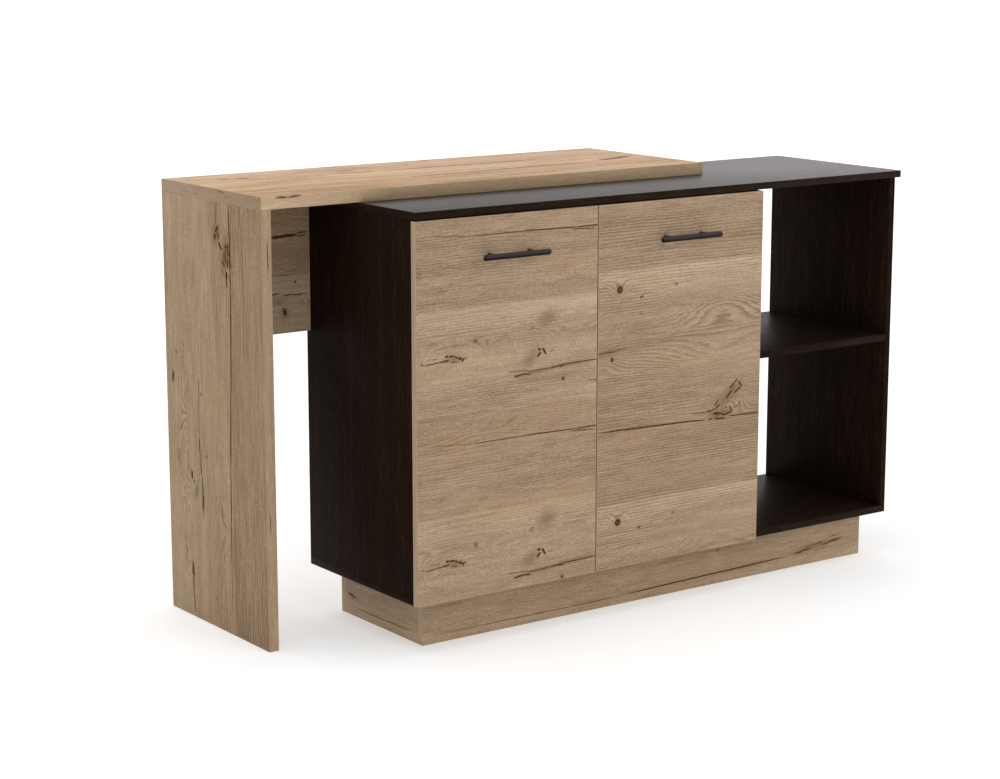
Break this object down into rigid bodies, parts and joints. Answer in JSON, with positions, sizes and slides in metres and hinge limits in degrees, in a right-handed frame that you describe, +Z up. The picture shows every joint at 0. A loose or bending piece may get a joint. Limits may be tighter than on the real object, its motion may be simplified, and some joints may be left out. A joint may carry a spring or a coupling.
{
  "type": "kitchen island unit",
  "caption": "Kitchen island unit with a two-door cupboard, an open shelf bay and a raised bar top carried at one end by a full-height leg panel.",
  "frame": {"origin": "bottom centre of the bounding box, on the floor", "axes": "+X right along the front, away from the leg panel; +Y from the doors to the bar side; +Z up"},
  "size_m": [1.503, 0.632, 0.9],
  "materials": {
    "dark_wood": "satin dark wenge-coloured melamine board with faint vertical grain",
    "rustic_oak": "matt light rustic oak with knots and dark cracks",
    "hardboard": "thin dark hardboard back",
    "black_metal": "satin black powder coat",
    "hinge_steel": "nickel-plated pressed steel",
    "fastener_steel": "zinc-plated steel",
    "clear_bumper": "soft translucent plastic"
  },
  "bodies": {
    "carcass": {"left_side_panel": "dark_wood", "right_side_panel": "dark_wood", "partition_panel": "dark_wood", "base_panel": "dark_wood", "cabinet_top": "dark_wood", "back_panel": "hardboard", "cupboard_shelf": "dark_wood", "open_bay_shelf": "dark_wood", "plinth_front": "rustic_oak", "plinth_back": "rustic_oak", "plinth_left": "rustic_oak", "plinth_right": "rustic_oak", "plinth_brace": "rustic_oak", "bar_top": "rustic_oak", "leg_panel": "rustic_oak", "stretcher_panel": "rustic_oak", "bar_screw_1": "fastener_steel", "bar_screw_2": "fastener_steel", "stretcher_screw_1": "fastener_steel", "stretcher_screw_2": "fastener_steel", "leg_cam_front": "fastener_steel", "leg_cam_back": "fastener_steel", "leg_bolt_front": "fastener_steel", "leg_bolt_back": "fastener_steel", "stretcher_cam": "fastener_steel", "stretcher_bolt": "fastener_steel", "shelf_pin_left_front": "fastener_steel", "shelf_pin_left_back": "fastener_steel", "shelf_pin_right_front": "fastener_steel", "shelf_pin_right_back": "fastener_steel", "left_lower_hinge_plate": "hinge_steel", "left_upper_hinge_plate": "hinge_steel", "left_lower_hinge_arm": "hinge_steel", "left_upper_hinge_arm": "hinge_steel", "right_lower_hinge_plate": "hinge_steel", "right_upper_hinge_plate": "hinge_steel", "right_lower_hinge_arm": "hinge_steel", "right_upper_hinge_arm": "hinge_steel"},
    "left_door": {"left_door": "rustic_oak", "left_handle_bar": "black_metal", "left_handle_post_1": "black_metal", "left_handle_post_2": "black_metal", "left_handle_screw_1": "fastener_steel", "left_handle_screw_2": "fastener_steel", "left_door_bumper": "clear_bumper", "left_lower_hinge_cup": "hinge_steel", "left_upper_hinge_cup": "hinge_steel"},
    "left_hinge_links": {"left_lower_hinge_link": "hinge_steel", "left_upper_hinge_link": "hinge_steel"},
    "right_door": {"right_door": "rustic_oak", "right_handle_bar": "black_metal", "right_handle_post_1": "black_metal", "right_handle_post_2": "black_metal", "right_handle_screw_1": "fastener_steel", "right_handle_screw_2": "fastener_steel", "right_door_bumper": "clear_bumper", "right_lower_hinge_cup": "hinge_steel", "right_upper_hinge_cup": "hinge_steel"},
    "right_hinge_links": {"right_lower_hinge_link": "hinge_steel", "right_upper_hinge_link": "hinge_steel"}
  },
  "joints": [
    {"name": "left_door_swing", "type": "hinge", "parent": "carcass", "child": "left_door", "pos_m": [-0.5255, -0.2785, 0.4785], "axis": [0, 0, -1], "range_deg": [0, 100]},
    {"name": "right_door_swing", "type": "hinge", "parent": "carcass", "child": "right_door", "pos_m": [0.3425, -0.2785, 0.4785], "axis": [0, 0, 1], "range_deg": [0, 100]},
    {"name": "left_links_turn", "type": "hinge", "parent": "carcass", "child": "left_hinge_links", "pos_m": [-0.4995, -0.264, 0.4785], "axis": [0, 0, -1], "range_deg": [-39, 0]},
    {"name": "right_links_turn", "type": "hinge", "parent": "carcass", "child": "right_hinge_links", "pos_m": [0.3165, -0.264, 0.4785], "axis": [0, 0, 1], "range_deg": [-39, 0]}
  ],
  "couplings": [
    {"joint": "left_links_turn", "follows": "left_door_swing", "ratio": -0.38519},
    {"joint": "right_links_turn", "follows": "right_door_swing", "ratio": -0.38519}
  ]
}
